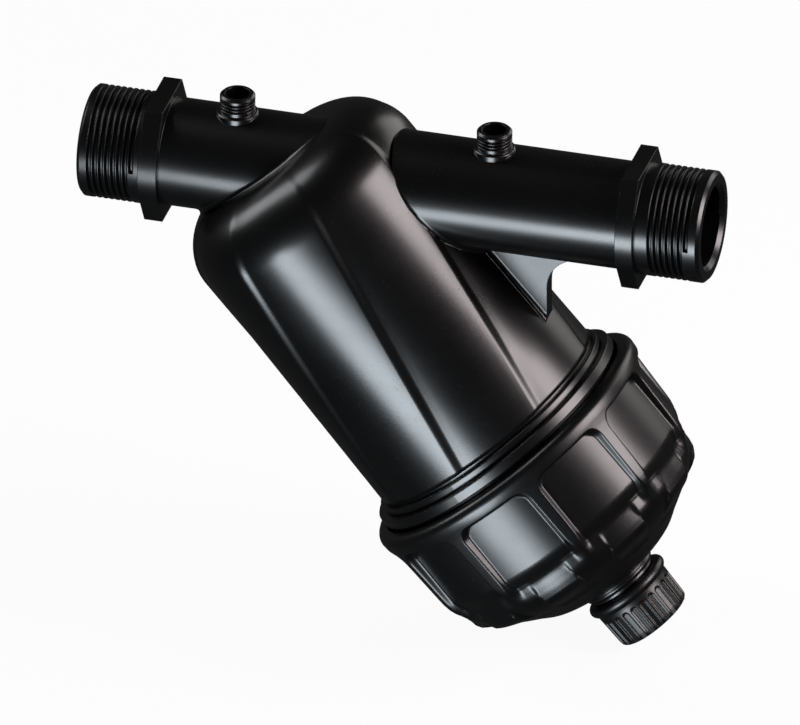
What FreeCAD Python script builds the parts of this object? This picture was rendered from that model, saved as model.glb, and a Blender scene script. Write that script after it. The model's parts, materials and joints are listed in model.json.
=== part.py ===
import FreeCAD, Part
import math
import os

from FreeCAD import Matrix, Vector

# Common to several pieces: how far joined shapes overlap, how far cutters reach out, and edge sizes
overlap = 1.0
cutReach = 2.0
smallEdge = 0.6
leadIn = 0.8

# Pipe run: starts at the left end face, on the origin, and runs along +X
pipeLength = 238.3
pipeRadius = 20.15
pipeBoreRadius = 15.0
endChamfer = 1.2
boreChamfer = 1.6
legPosition = 71.3
legAngle = 49.7

# Male pipe threads, 1 1/4 inch, and the collars behind them
threadRadius = 20.955
threadPitch = 2.309
threadDepth = 1.479
threadCrest = 0.42
threadOverrun = 0.4
leftEndLand = 2.0
leftThreadTurns = 7.75
rightThreadTurns = 6.75
rightBandLength = 3.2
leftCollarStart = 24.2
leftCollarLength = 7.0
rightCollarInset = 24.8
rightCollarLength = 6.6
collarAcrossFlats = 46.0

# Gauge nipples, 1/4 inch, standing up from the pipe
leftNippleX = 56.2
rightNippleX = 154.6
nippleTop = 28.4
nippleRadius = 6.58
nipplePitch = 1.337
nippleThreadDepth = 0.85
nippleCrest = 0.3
nippleTurns = 3
nippleTopLand = 1.4
nippleBoreRadius = 4.6
nippleBaseRadius = 7.7
nippleBaseHeight = 1.0
nippleBaseEdge = 0.4
nippleChamfer = 0.8

# Barrel, measured along the leg axis from where it crosses the pipe axis
barrelTop = -3.6
shoulderRadius = 21.8
barrelShoulderRadius = 48.2
barrelEndRadius = 49.4
barrelEnd = 123.6
barrelWall = 4.0

# Lobes round the barrel: each falls away from the draft over a soft step and rises slowly to the next
lobeCount = 8
lobeDepth = 0.93
lobeStepAngle = 6.8
lobeTwist = -0.2106
lobePhase = 17.4
lobePhaseStation = 71.0
lobeTop = 6.0
lobeRamp = 30.0
lobeSkin = 0.05
lobeTrim = 3.0

# Rings above the cap and the thread inside it
ringGapDepth = 1.3
ringGapLength = 1.2
ringRadius = 50.7
ringLength = 2.4
flangeGapLength = 0.6
flangeRadius = 53.8
flangeLength = 4.1
flangeEdge = 0.4
barrelThreadRadius = 53.3
barrelThreadDepth = 1.5
barrelThreadPitch = 5.0
barrelThreadTurns = 4
barrelThreadRelief = 3.4
mouthStation = 159.5

# Partition that holds the cartridge
partitionStation = 13.5
partitionThickness = 4.0
seatRadius = 20.0
seatWall = 4.0
seatDepth = 25.0

# Web between the barrel and the pipe
webThickness = 7.0
webEdge = 104.3
webFillet = 13.5
webFoot = 1.7
junctionFillet = 1.8

# Cap: skirt with ribs between grip panels, then the bowl with a flat pocket below each panel
capLipStation = 133.0
capLipRadius = 59.4
capLipRound = 3.4
capLipLength = 6.4
capSkirtTop = 142.6
capSkirtTopRadius = 58.4
capSkirtRadius = 57.8
capSkirtEnd = 165.0
capBoreClearance = 0.4
capPanels = 10
capPanelPhase = 9.0
capPanelAngle = 30.9
capPanelTop = 140.2
capPanelDepth = 2.2
capPanelCorner = 5.0
capFloorBend = 166.3
capFloorBowl = [(54.9, 168.5), (53.4, 171.0), (52.0, 173.4), (51.4, 176.5), (50.5, 179.5), (48.6, 182.6),
                (45.0, 185.5), (38.9, 189.6), (33.9, 193.0), (28.5, 196.2)]
capBowl = [(57.3, 168.2), (56.4, 171.0), (55.0, 174.0), (52.6, 178.0), (49.6, 181.8), (46.7, 184.7),
           (39.5, 189.7), (34.7, 193.1), (29.3, 196.8), (22.0, 198.9)]
capBottom = 199.6
capPadWidth = 16.8
capPadInner = 40.0
capWall = 4.2
capSealThickness = 3.0
capSealWidth = 5.6
neckRadius = 13.6
neckEnd = 204.6

# Drain
drainBoreRadius = 8.0
drainSpigotRadius = 10.6
drainSpigotEnd = 219.0
drainGasketThickness = 1.8
drainGasketWidth = 2.4
drainClearance = 0.3
drainFlangeRadius = 16.9
drainFlangeLength = 4.0
drainFlangeGap = 0.5
drainBodyRadius = 15.4
drainBodyEndRadius = 15.0
drainEnd = 224.0
drainEndRound = 1.6
drainFlutes = 24
drainFluteWidth = 2.3
drainFluteDepth = 0.6
drainFluteTop = 211.6
drainFlangeShare = 0.45

# Cartridge, from the seat down the leg
headClearance = 0.3
headFlangeRadius = 37.0
headFlangeThickness = 4.0
headBoreRadius = 15.0
headSpigotTop = 14.5
headSealStation = 20.5
headSealSection = 2.4
headSealPlay = 0.4
headSealSquash = 0.1
spiderBossRadius = 7.5
spiderArmWidth = 3.0
spiderLength = 9.0
swirlLength = 12.0
swirlHubRadius = 24.0
swirlHubWall = 3.0
swirlRadius = 42.5
swirlVanes = 12
swirlVaneThickness = 1.6
swirlVaneAngle = 38.0
swirlVaneStretch = 2.5
coreInnerRadius = 16.0
coreWall = 2.5
coreRibRadius = 24.6
coreRibWidth = 3.0
coreRibs = 6
coreTail = 12.0
coreWindowWidth = 11.1
coreWindowLength = 20.0
coreWindowGap = 5.0
plugThickness = 3.0
plugSpigotLength = 4.0
plugClearance = 0.1
endDiscThickness = 3.0
discClearance = 0.4
discOuterRadius = 38.0
discThickness = 1.6
discCount = 58
discGrooveDepth = 0.2
discGrooveHalf = 1.0
plateThickness = 7.0
plateTaper = 5.0
plateRadius = 39.0
plateClearance = 0.1
springWire = 2.6
springRadius = 28.0
springLength = 20.0
springTurns = 4.5
springEndTurns = 0.75
springEndPitch = 2.9
springSections = 32
cupThickness = 3.0
cupRimHeight = 4.0
cupClearance = 0.8
cupRimWall = 2.5
spindleRadius = 4.0
spindleClearance = 0.1
spindleTail = 6.3
nutAcrossFlats = 13.0
nutThickness = 5.0
washerRadius = 9.0
washerThickness = 1.4
knobBossRadius = 8.5
knobLength = 12.0
knobSpan = 24.0
knobWingThickness = 4.0
knobWingHeight = 4.2
knobWingRound = 2.0
insertLength = 8.0
insertAcrossFlats = 11.0

legSine = math.sin(math.radians(legAngle))
legCosine = math.cos(math.radians(legAngle))

# Stations that follow one another down the leg
sealEnd = mouthStation + capSealThickness
headEnd = seatDepth + headFlangeThickness
swirlEnd = headEnd + swirlLength
discStackStart = swirlEnd + endDiscThickness
plateStart = discStackStart + discCount * discThickness
springStart = plateStart + plateThickness
coreEnd = plateStart + coreTail
cupStart = springStart + springLength
washerStart = cupStart + cupThickness
knobStart = washerStart + washerThickness
knobEnd = knobStart + knobLength
up = Vector(0, 0, 1)
along = Vector(1, 0, 0)


def place(point):
    """Point of an outline, (radius, height), in the XZ plane."""
    return Vector(point[0], 0, point[1])


def outlineFace(start, steps):
    """Face from points: a point is a straight run, a tuple of two is an arc, a list is a smooth curve."""
    edges = []
    last = place(start)
    for step in steps + [start]:
        if isinstance(step, list):
            curve = Part.BSplineCurve()
            curve.interpolate([last] + [place(point) for point in step])
            edges.append(curve.toShape())
            last = place(step[-1])
        elif isinstance(step[0], tuple):
            edges.append(Part.Arc(last, place(step[0]), place(step[1])).toShape())
            last = place(step[1])
        else:
            edges.append(Part.LineSegment(last, place(step)).toShape())
            last = place(step)
    return Part.Face(Part.Wire(edges))


def revolved(start, steps):
    """Solid of revolution about Z."""
    return outlineFace(start, steps).revolve(Vector(0, 0, 0), up, 360)


def ring(innerRadius, outerRadius, start, end):
    return revolved((innerRadius, start), [(outerRadius, start), (outerRadius, end), (innerRadius, end)])


def disc(radius, start, end):
    return Part.makeCylinder(radius, end - start, Vector(0, 0, start))


def onLeg(shape):
    """Lays a shape built about Z along the slanted leg axis."""
    placed = shape.copy()
    turn = Matrix(0, -legSine, legCosine, legPosition, -1, 0, 0, 0, 0, -legCosine, -legSine, 0, 0, 0, 0, 1)
    placed.Placement = FreeCAD.Placement(turn).multiply(placed.Placement)
    return placed


def aroundLeg(shape, angle):
    """Turns a shape about the leg axis, counted from the front towards the pipe side."""
    turned = shape.copy()
    turned.rotate(Vector(0, 0, 0), up, -angle)
    return turned


def fused(shapes):
    return shapes[0].multiFuse(shapes[1:]).removeSplitter()


def ridges(radius, depth, pitch, crest, start, turns):
    """Outline points of thread ridges, from the root before the first to the root after the last."""
    flank = (pitch - 2 * crest) / 2
    points = []
    for turn in range(turns):
        base = start + turn * pitch
        points.append((radius - depth, base + crest / 2))
        points.append((radius, base + crest / 2 + flank))
        points.append((radius, base + crest * 1.5 + flank))
        points.append((radius - depth, base + crest * 1.5 + 2 * flank))
    return points


def barrelRadius(station):
    """Outer radius of the barrel's draft."""
    slope = (barrelEndRadius - barrelShoulderRadius) / (barrelEnd - barrelTop - shoulderRadius)
    return barrelShoulderRadius + slope * (station - barrelTop - shoulderRadius)


def shoulderPoint(radius, angle):
    """Point of the rounded shoulder, from the flat top at 0 degrees to the side at 90."""
    turn = math.radians(angle)
    centre = barrelShoulderRadius - shoulderRadius
    return (centre + radius * math.sin(turn), barrelTop + shoulderRadius - radius * math.cos(turn))


def threadGroove(radius, depth, pitch, crest, start, turns):
    """Cutter about Z for the groove of a right-handed thread, from the start for a number of turns."""
    half = (pitch - crest) / 2
    slope = (half - crest / 2) / depth
    mouth = half + threadOverrun * slope
    corners = [place((radius - depth, start - crest / 2)), place((radius + threadOverrun, start - mouth)),
               place((radius + threadOverrun, start + mouth)), place((radius - depth, start + crest / 2))]
    helix = Part.makeHelix(pitch, pitch * turns, radius)
    helix.translate(Vector(0, 0, start))
    return Part.Wire(helix).makePipeShell([Part.makePolygon(corners + corners[:1])], True, True)


def pipeRun():
    """The straight run: a plain middle between two ends with pipe threads."""
    rightBand = pipeLength - rightCollarInset
    outline = [(threadRadius - endChamfer, 0), (threadRadius, endChamfer), (threadRadius, leftCollarStart)]
    outline += [(pipeRadius, leftCollarStart), (pipeRadius, rightBand), (threadRadius, rightBand)]
    outline += [(threadRadius, pipeLength - endChamfer), (threadRadius - endChamfer, pipeLength)]
    outline += [(0, pipeLength)]
    run = revolved((0, 0), outline)
    starts = [(leftEndLand + threadPitch / 2, leftThreadTurns),
              (rightBand + rightBandLength + threadPitch / 2, rightThreadTurns)]
    cutters = [threadGroove(threadRadius, threadDepth, threadPitch, threadCrest, start, turns)
               for start, turns in starts]
    run = run.cut(cutters)
    run.rotate(Vector(0, 0, 0), Vector(0, 1, 0), 90)
    return run


def collar(start, length):
    """Hexagon with flat top and bottom, its front and back corners rounded to the circle inside it."""
    radius = collarAcrossFlats / 2
    corners = []
    for side in range(7):
        turn = math.radians(60 * side)
        corners.append(Vector(start, radius / math.cos(math.pi / 6) * math.cos(turn),
                              radius / math.cos(math.pi / 6) * math.sin(turn)))
    hexagon = Part.Face(Part.makePolygon(corners)).extrude(Vector(length, 0, 0))
    reach = radius * math.sin(math.pi / 3)
    middle = Part.makeBox(length, 2 * reach, 3 * radius, Vector(start, -reach, -1.5 * radius))
    return hexagon.common(middle).fuse(Part.makeCylinder(radius, length, Vector(start, 0, 0), along))


def nipple(position):
    """Male gauge nipple on its base ring, standing on the pipe."""
    foot = pipeBoreRadius + (pipeRadius - pipeBoreRadius) / 2
    baseTop = pipeRadius + nippleBaseHeight
    outline = [(nippleBaseRadius, foot), (nippleBaseRadius, baseTop - nippleBaseEdge)]
    outline += [(nippleBaseRadius - nippleBaseEdge, baseTop), (nippleRadius, baseTop)]
    outline += [(nippleRadius, nippleTop - nippleChamfer), (nippleRadius - nippleChamfer, nippleTop)]
    outline += [(0, nippleTop)]
    threadStart = nippleTop - nippleTopLand - (nippleTurns + 0.5) * nipplePitch
    groove = threadGroove(nippleRadius, nippleThreadDepth, nipplePitch, nippleCrest, threadStart, nippleTurns)
    post = revolved((0, foot), outline).cut(groove)
    post.translate(Vector(position, 0, 0))
    return post


def barrelShell():
    """Outside of the barrel with its rings and thread, solid inside."""
    ringStart = barrelEnd + ringGapLength
    ringEnd = ringStart + ringLength
    flangeStart = ringEnd + flangeGapLength
    flangeEnd = flangeStart + flangeLength
    root = barrelThreadRadius - barrelThreadDepth
    gapRadius = barrelEndRadius - ringGapDepth
    steps = [(gapRadius, barrelEnd - barrelWall), (gapRadius, ringStart)]
    steps += [(ringRadius - flangeEdge, ringStart)]
    steps += [(ringRadius, ringStart + flangeEdge), (ringRadius, ringEnd), (barrelEndRadius, ringEnd)]
    steps += [(barrelEndRadius, flangeStart), (flangeRadius - flangeEdge, flangeStart)]
    steps += [(flangeRadius, flangeStart + flangeEdge), (flangeRadius, flangeEnd - flangeEdge)]
    steps += [(flangeRadius - flangeEdge, flangeEnd), (root, flangeEnd)]
    steps += ridges(barrelThreadRadius, barrelThreadDepth, barrelThreadPitch, barrelThreadPitch / 4,
                    flangeEnd + barrelThreadRelief, barrelThreadTurns)
    steps += [(root, mouthStation), (0, mouthStation)]
    return lobedBarrel().fuse(revolved((0, barrelEnd - barrelWall), steps))


def lobeRecess(angle, station):
    """Depth of the lobed surface below the draft, at an angle round the leg."""
    pitch = 360 / lobeCount
    past = (angle - lobePhase - lobeTwist * (station - lobePhaseStation) + lobeStepAngle / 2) % pitch
    if past < lobeStepAngle:
        share = (1 - math.cos(math.pi * past / lobeStepAngle)) / 2
    else:
        share = (pitch - past) / (pitch - lobeStepAngle)
    rise = min(max((station - barrelTop - shoulderRadius) / lobeRamp, 0), 1)
    return lobeSkin + lobeDepth * share * rise * rise * (3 - 2 * rise)


def lobeSection(station):
    """Closed outline of the lobed surface at a station."""
    pitch = 360 / lobeCount
    spacing = [0, 0.25, 0.5, 0.75, 1, 1.6, 2.4, 3.3, 4.2, 5.2]
    points = []
    for lobe in range(lobeCount):
        for share in spacing:
            past = pitch * lobe - 180 + (share - 0.5) * lobeStepAngle
            angle = lobePhase + lobeTwist * (station - lobePhaseStation) + past
            radius = barrelRadius(station) - lobeRecess(angle, station)
            turn = math.radians(angle)
            points.append(Vector(radius * math.cos(turn), -radius * math.sin(turn), station))
    curve = Part.BSplineCurve()
    curve.interpolate(points, PeriodicFlag=True)
    return Part.Wire(curve.toShape())


def lobedBarrel():
    """Rounded shoulder and side of the barrel, the side trimmed to its twisted lobes."""
    sideStart = barrelTop + shoulderRadius
    stations = [lobeTop, (lobeTop + sideStart) / 2, sideStart]
    stations += [sideStart + lobeRamp * share for share in (0.2, 0.45, 0.7, 1)]
    sideEnd = stations[-1]
    stations += [sideEnd + (barrelEnd - sideEnd) * share for share in (0.25, 0.5, 0.75, 1)]
    side = Part.makeLoft([lobeSection(station) for station in stations], True)
    above = disc(2 * barrelEndRadius, barrelTop - 1, lobeTop + 1)
    outside = revolved((0, barrelTop), [
        shoulderPoint(shoulderRadius, 0),
        (shoulderPoint(shoulderRadius, 45), shoulderPoint(shoulderRadius, 90)),
        (barrelEndRadius + lobeTrim, sideStart + 2 * lobeTrim), (barrelEndRadius + lobeTrim, barrelEnd),
        (0, barrelEnd)])
    return outside.common(side.fuse(above))


def web():
    """Gusset between the pipe's underside and the barrel, with a hollow corner under the pipe."""
    inPipe = -(pipeRadius + pipeBoreRadius) / 2
    inBarrel = barrelRadius(barrelEnd) - barrelWall / 2
    corner = (inBarrel - inPipe * legCosine) / legSine
    foot = (inBarrel - webEdge * legSine) / legCosine
    arcCentre = Vector(legPosition + webEdge + webFillet, 0, -pipeRadius - webFillet)
    diagonal = webFillet * math.sqrt(0.5)
    points = [Vector(legPosition + webEdge, 0, foot), Vector(legPosition + corner, 0, inPipe),
              Vector(arcCentre.x, 0, inPipe), Vector(arcCentre.x, 0, -pipeRadius)]
    run = Part.makePolygon(points).Edges
    run.append(Part.Arc(points[-1], arcCentre + Vector(-diagonal, 0, diagonal),
                        Vector(legPosition + webEdge, 0, arcCentre.z)).toShape())
    run.append(Part.LineSegment(Vector(legPosition + webEdge, 0, arcCentre.z), points[0]).toShape())
    face = Part.Face(Part.Wire(run))
    face.translate(Vector(0, -webThickness / 2, 0))
    return face.extrude(Vector(0, webThickness, 0))


def webPad():
    """Hollow foot of the web along the barrel's side."""
    half = webThickness / 2
    start = pipeRadius / legCosine + pipeRadius
    arc = webFoot * (1 - math.sqrt(0.5))
    startRadius = barrelRadius(start) - lobeRecess(90, start)
    endRadius = barrelRadius(barrelEnd) - lobeRecess(90, barrelEnd)
    floor = startRadius - barrelWall / 2
    sides = []
    for side in (-1, 1):
        toe = Vector(0, side * (half + webFoot), startRadius)
        middle = Vector(0, side * (half + arc), startRadius + arc)
        heel = Vector(0, side * half, startRadius + webFoot)
        sides.append((toe, Part.Arc(toe, middle, heel).toShape(), heel))
    (leftToe, leftArc, leftHeel), (rightToe, rightArc, rightHeel) = sides
    base = Part.makePolygon([rightToe, Vector(0, half + webFoot, floor),
                             Vector(0, -half - webFoot, floor), leftToe])
    top = Part.LineSegment(leftHeel, rightHeel).toShape()
    face = Part.Face(Part.Wire([leftArc, top, rightArc] + base.Edges))
    pad = face.extrude(Vector(barrelEnd - start, 0, endRadius - startRadius))
    pad.translate(Vector(start, 0, 0))
    pad.rotate(Vector(0, 0, 0), Vector(0, 1, 0), legAngle)
    pad.translate(Vector(legPosition, 0, 0))
    return pad.common(Part.makeBox(webEdge, pipeLength, pipeLength,
                                   Vector(legPosition, -pipeLength / 2, -pipeLength)))


def chambers():
    """Outlet chamber above the partition, main chamber below it and the seat between them."""
    innerShoulder = shoulderRadius - barrelWall
    centre = barrelShoulderRadius - shoulderRadius
    drop = barrelTop + shoulderRadius - partitionStation
    meet = math.degrees(math.acos(drop / innerShoulder))
    outlet = revolved((0, barrelTop + barrelWall), [
        shoulderPoint(innerShoulder, 0),
        (shoulderPoint(innerShoulder, meet / 2), shoulderPoint(innerShoulder, meet)),
        (0, partitionStation)])
    floor = partitionStation + partitionThickness
    seatOuter = seatRadius + seatWall
    mouthEnd = mouthStation + overlap
    main = revolved((seatOuter, floor), [
        (centre + math.sqrt(innerShoulder ** 2 - (barrelTop + shoulderRadius - floor) ** 2), floor),
        (barrelRadius(barrelTop + shoulderRadius) - barrelWall, barrelTop + shoulderRadius),
        (barrelRadius(mouthEnd) - barrelWall, mouthEnd), (0, mouthEnd),
        (0, seatDepth), (seatOuter, seatDepth)])
    return [outlet, main, disc(seatRadius, partitionStation - overlap, seatDepth + overlap)]


def bores():
    """Bores of the two pipe ends, which stay apart at the partition, and of the two nipples."""
    mouth = Part.makeCone(pipeBoreRadius + boreChamfer, pipeBoreRadius, boreChamfer, Vector(0, 0, 0), along)
    farMouth = Part.makeCone(pipeBoreRadius + boreChamfer, pipeBoreRadius, boreChamfer,
                             Vector(pipeLength, 0, 0), -along)
    left = Part.makeCylinder(pipeBoreRadius, legPosition + barrelShoulderRadius, Vector(0, 0, 0), along)
    left = left.common(onLeg(disc(pipeLength, -pipeLength, partitionStation)))
    innerRadius = barrelRadius(seatDepth) - barrelWall
    entry = (innerRadius - pipeBoreRadius * legCosine) / legSine
    right = Part.makeCylinder(pipeBoreRadius, pipeLength - legPosition - entry,
                              Vector(legPosition + entry, 0, 0), along)
    nippleBores = [Part.makeCylinder(nippleBoreRadius, nippleTop, Vector(position, 0, 0), up)
                   for position in (leftNippleX, rightNippleX)]
    return [mouth, farMouth, left, right] + nippleBores


def junctionEdges(shape):
    """Curved edges where the pipe run meets the barrel."""
    first = leftCollarStart + 2 * leftCollarLength
    last = rightNippleX + pipeRadius
    found = []
    for edge in shape.Edges:
        span = edge.LastParameter - edge.FirstParameter
        points = [edge.valueAt(edge.FirstParameter + span * share) for share in (0.1, 0.35, 0.6, 0.9)]
        onRun = all(abs(math.hypot(point.y, point.z) - pipeRadius) < 0.02 for point in points)
        between = all(first < point.x < last for point in points)
        if onRun and between and not isinstance(edge.Curve, Part.Line):
            found.append(edge)
    return found


def housing():
    """One moulding: pipe run, collars, nipples, web and the slanted barrel with its lobes."""
    solid = onLeg(barrelShell()).fuse(pipeRun())
    solid = solid.makeFillet(junctionFillet, junctionEdges(solid))
    rightCollar = pipeLength - rightCollarInset - rightCollarLength
    solid = solid.multiFuse([
        collar(leftCollarStart, leftCollarLength), collar(rightCollar, rightCollarLength),
        nipple(leftNippleX), nipple(rightNippleX), web(), webPad()])
    inside = [onLeg(chamber) for chamber in chambers()] + bores()
    return solid.cut(inside)


def inward(outline, wall):
    """Points of an outline moved towards the inside by the wall."""
    moved = []
    for index in range(1, len(outline) - 1):
        run = Vector(*place(outline[index + 1])) - Vector(*place(outline[index - 1]))
        run.normalize()
        moved.append((outline[index][0] - wall * run.z, outline[index][1] + wall * run.x))
    return moved


def capOutside():
    """Lip, ribs and bowl: a sleeve with a grip panel and a flat pocket cut between each two ribs."""
    floorRadius = capSkirtRadius - capPanelDepth
    lipEnd = capLipStation + capLipLength
    rounding = capLipRound * math.sqrt(0.5)
    boreRadius = barrelThreadRadius + capBoreClearance
    inner = floorRadius - overlap
    sleeve = revolved((boreRadius + smallEdge, capLipStation), [
        (capLipRadius - capLipRound, capLipStation),
        ((capLipRadius - capLipRound + rounding, capLipStation + capLipRound - rounding),
         (capLipRadius, capLipStation + capLipRound)),
        (capLipRadius, lipEnd), (capSkirtTopRadius, capSkirtTop), (capSkirtRadius, capSkirtEnd), capBowl,
        (neckRadius, capBottom), (neckRadius, capBottom - capWall / 2),
        (capBowl[-1][0], capBowl[-1][1] - capWall / 2),
        (capFloorBowl[5][0] - cutReach, capFloorBowl[5][1] - cutReach),
        (capFloorBowl[2][0] - cutReach, capFloorBowl[2][1] - cutReach), (inner, capSkirtEnd),
        (inner, capLipStation + overlap), (boreRadius, capLipStation + smallEdge)])
    sector = outlineFace((inner - overlap, capPanelTop), [
        (capLipRadius + cutReach, capPanelTop), (capLipRadius + cutReach, capBowl[2][1] + cutReach),
        (inner - overlap, capFloorBend)])
    panel = sector.revolve(Vector(0, 0, 0), up, capPanelAngle)
    panel.rotate(Vector(0, 0, 0), up, -capPanelAngle / 2)
    corners = [edge for edge in panel.Edges if isinstance(edge.Curve, Part.Line)
               and all(abs(vertex.Z - capPanelTop) < 0.01 for vertex in edge.Vertexes)]
    panel = panel.makeFillet(capPanelCorner, corners)
    pad = Part.makeBox(capLipRadius, capPadWidth, capBottom,
                       Vector(capPadInner, -capPadWidth / 2, capFloorBend))
    step = 360 / capPanels
    cutters = []
    for index in range(capPanels):
        cutters.append(aroundLeg(panel, capPanelPhase + step * index))
        cutters.append(aroundLeg(pad, capPanelPhase + step * index))
    return sleeve.cut(cutters)


def cap():
    """Screwed bowl with ribs, grip panels, pads and the drain neck."""
    floorRadius = capSkirtRadius - capPanelDepth
    boreRadius = barrelThreadRadius + capBoreClearance
    bowlInner = inward([(floorRadius, capFloorBend)] + capFloorBowl, capWall)
    sealInner = boreRadius - capSealWidth
    body = revolved((boreRadius, capLipStation + cutReach), [
        (floorRadius, capLipStation + cutReach), (floorRadius, capFloorBend), capFloorBowl,
        (capBowl[-1][0] - cutReach, capBottom - leadIn), (neckRadius, capBottom), (neckRadius, neckEnd),
        (drainSpigotRadius, neckEnd), (drainSpigotRadius, drainSpigotEnd - smallEdge),
        (drainSpigotRadius - smallEdge, drainSpigotEnd), (drainBoreRadius, drainSpigotEnd),
        (drainBoreRadius, capBottom - capWall), (capBowl[-1][0] - cutReach, capBottom - capWall),
        bowlInner[::-1],
        (sealInner, capSkirtEnd - overlap), (sealInner, sealEnd), (boreRadius, sealEnd)])
    return body.fuse(capOutside()).removeSplitter()


def drainCap():
    """Fluted cap on the drain neck."""
    innerRadius = drainSpigotRadius + drainClearance
    floor = drainSpigotEnd + drainGasketThickness
    start = neckEnd + drainFlangeGap
    flangeEnd = start + drainFlangeLength
    rounding = drainFlangeLength * drainFlangeShare
    diagonal = rounding * (1 - math.sqrt(0.5))
    endDiagonal = drainEndRound * (1 - math.sqrt(0.5))
    body = revolved((innerRadius, start), [
        (drainFlangeRadius - rounding, start),
        ((drainFlangeRadius - diagonal, start + diagonal), (drainFlangeRadius, start + rounding)),
        (drainFlangeRadius, flangeEnd - rounding),
        ((drainFlangeRadius - diagonal, flangeEnd - diagonal), (drainFlangeRadius - rounding, flangeEnd)),
        (drainBodyRadius, flangeEnd + smallEdge), (drainBodyEndRadius, drainEnd - drainEndRound),
        ((drainBodyEndRadius - endDiagonal, drainEnd - endDiagonal),
         (drainBodyEndRadius - drainEndRound, drainEnd)),
        (0, drainEnd), (0, floor), (innerRadius, floor)])
    flute = Part.makeBox(2 * drainFluteDepth, drainFluteWidth, drainEnd,
                         Vector(drainBodyEndRadius - drainFluteDepth, -drainFluteWidth / 2,
                                drainFluteTop + drainFluteWidth / 2))
    flute = flute.fuse(Part.makeCylinder(
        drainFluteWidth / 2, 2 * drainFluteDepth,
        Vector(drainBodyEndRadius - drainFluteDepth, 0, drainFluteTop + drainFluteWidth / 2), along))
    step = 360 / drainFlutes
    return body.cut([aroundLeg(flute, step * index) for index in range(drainFlutes)])


def hexagonPrism(acrossFlats, start, length):
    corners = [Vector(acrossFlats / math.sqrt(3) * math.cos(math.radians(60 * side)),
                      acrossFlats / math.sqrt(3) * math.sin(math.radians(60 * side)), start)
               for side in range(7)]
    return Part.Face(Part.makePolygon(corners)).extrude(Vector(0, 0, length))


def cartridgeHead():
    """Spigot for the seat, the flange above the discs and a spider that holds the spindle."""
    spigotRadius = seatRadius - headClearance
    grooveRadius = seatRadius - headSealSection
    grooveEnd = headSealStation + headSealSection + headSealPlay
    tube = revolved((headBoreRadius, headSpigotTop), [
        (spigotRadius - leadIn, headSpigotTop), (spigotRadius, headSpigotTop + leadIn),
        (spigotRadius, headSealStation), (grooveRadius, headSealStation), (grooveRadius, grooveEnd),
        (spigotRadius, grooveEnd), (spigotRadius, seatDepth), (headFlangeRadius, seatDepth),
        (headFlangeRadius, headEnd), (headBoreRadius, headEnd)])
    start = headEnd - spiderLength
    arm = Part.makeBox(headBoreRadius + overlap, spiderArmWidth, spiderLength,
                       Vector(0, -spiderArmWidth / 2, start))
    arms = [aroundLeg(arm, 90 * index) for index in range(4)]
    head = fused([tube, disc(spiderBossRadius, start, headEnd)] + arms)
    return head.cut(disc(spindleRadius + spindleClearance, start - overlap, headEnd + overlap))


def headSeal():
    """O-ring of the spigot, in its groove."""
    seal = Part.makeTorus(seatRadius - headSealSection / 2, headSealSection / 2 - headSealSquash)
    seal.translate(Vector(0, 0, headSealStation + (headSealSection + headSealPlay) / 2))
    return seal


def swirlRing():
    """Ring of slanted vanes that sets the water turning round the discs."""
    middle = headEnd + swirlLength / 2
    length = swirlLength * swirlVaneStretch
    vane = Part.makeBox(swirlRadius, swirlVaneThickness, length,
                        Vector(swirlHubRadius + swirlHubWall / 2, -swirlVaneThickness / 2,
                               middle - length / 2))
    vane.rotate(Vector(0, 0, middle), along, swirlVaneAngle)
    room = ring(swirlHubRadius, swirlRadius, headEnd, swirlEnd)
    vane = vane.common(room)
    hub = ring(swirlHubRadius, swirlHubRadius + swirlHubWall, headEnd, swirlEnd)
    return fused([hub] + [aroundLeg(vane, 360 / swirlVanes * index) for index in range(swirlVanes)])


def core():
    """Ribbed spine that carries the discs, with windows between its ribs."""
    outer = coreInnerRadius + coreWall
    tube = ring(coreInnerRadius, outer, headEnd, coreEnd)
    rib = Part.makeBox(coreRibRadius - outer + overlap, coreRibWidth, coreEnd - swirlEnd,
                       Vector(outer - overlap, -coreRibWidth / 2, swirlEnd))
    rib = rib.common(disc(coreRibRadius, swirlEnd, coreEnd))
    spine = fused([tube] + [aroundLeg(rib, 360 / coreRibs * index) for index in range(coreRibs)])
    windowPitch = coreWindowLength + coreWindowGap
    windows = []
    for row in range(int((plateStart - discStackStart + coreWindowGap) / windowPitch)):
        window = Part.makeBox(outer * 2, coreWindowWidth, coreWindowLength,
                              Vector(0, -coreWindowWidth / 2, discStackStart + row * windowPitch))
        windows += [aroundLeg(window, 360 / coreRibs * (index + 0.5)) for index in range(coreRibs)]
    return spine.cut(windows)


def corePlug():
    """Plug that closes the lower end of the spine round the spindle."""
    hole = spindleRadius + spindleClearance
    spigot = coreInnerRadius - plugClearance
    return revolved((hole, coreEnd - plugSpigotLength), [
        (spigot, coreEnd - plugSpigotLength), (spigot, coreEnd), (coreRibRadius, coreEnd),
        (coreRibRadius, coreEnd + plugThickness), (hole, coreEnd + plugThickness)])


def filterDiscs():
    """Stack of separate discs with a shallow groove round the upper face."""
    discs = []
    inner = coreRibRadius + discClearance
    middle = (inner + discOuterRadius) / 2
    for index in range(discCount):
        top = discStackStart + index * discThickness
        discs.append(revolved((inner, top), [
            (middle - discGrooveHalf, top), (middle, top + discGrooveDepth), (middle + discGrooveHalf, top),
            (discOuterRadius, top), (discOuterRadius, top + discThickness), (inner, top + discThickness)]))
    return Part.makeCompound(discs)


def pressurePlate():
    """Plate that slides on the spine's ribs and closes the stack."""
    inner = coreRibRadius + plateClearance
    return revolved((inner, plateStart), [
        (plateRadius, plateStart), (plateRadius, plateStart + plateThickness / 2),
        (plateRadius - plateTaper, springStart), (inner, springStart)])


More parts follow.
